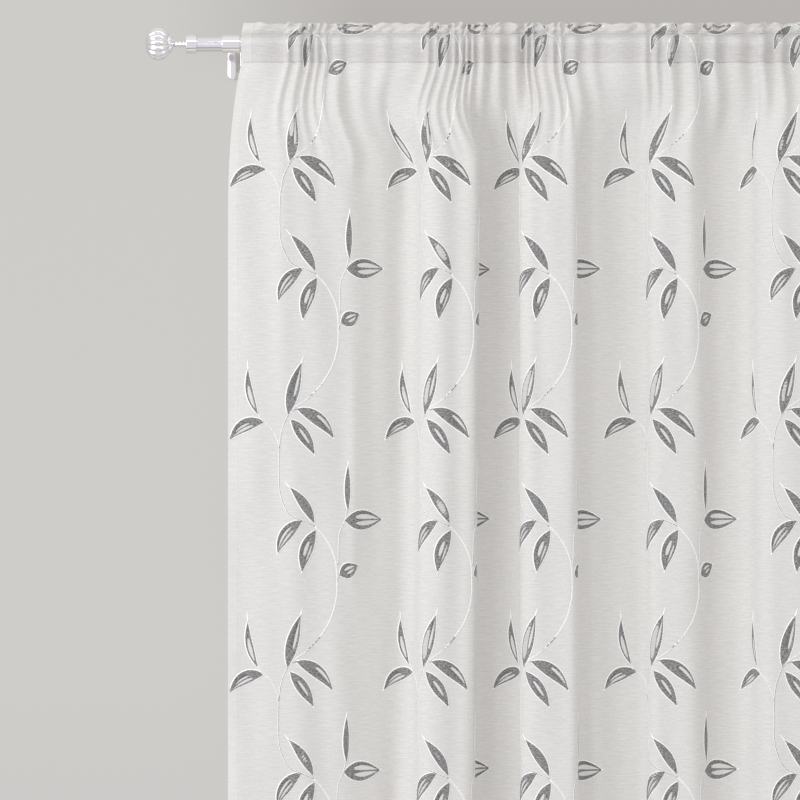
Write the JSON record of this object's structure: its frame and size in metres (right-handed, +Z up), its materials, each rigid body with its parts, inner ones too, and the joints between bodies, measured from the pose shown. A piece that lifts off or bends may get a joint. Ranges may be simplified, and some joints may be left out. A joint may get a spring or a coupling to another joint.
{
  "type": "voile curtain on a curtain pole",
  "caption": "Sheer leaf-patterned voile panel with a slot heading and frill, gathered on a metal pole with ribbed ball finials and wall brackets.",
  "frame": {"origin": "on the back of the left bracket's wall plate, level with the pole's axis", "axes": "+X along the pole to the right as seen from the room, +Y into the wall, +Z up"},
  "size_m": [1.4304, 0.1432, 1.8303],
  "materials": {
    "voile": "fine sheer polyester voile with a grey and white leaf pattern",
    "pole_metal": "satin plated steel tube",
    "bracket_metal": "polished plated casting",
    "finial_metal": "polished plated casting"
  },
  "bodies": {
    "root": {"curtain": "voile", "pole": "pole_metal", "bracket_left": "bracket_metal", "bracket_right": "bracket_metal", "finial_cap_left": "finial_metal", "finial_cap_right": "finial_metal", "finial_ball_left": "finial_metal", "finial_ball_right": "finial_metal"}
  },
  "joints": []
}
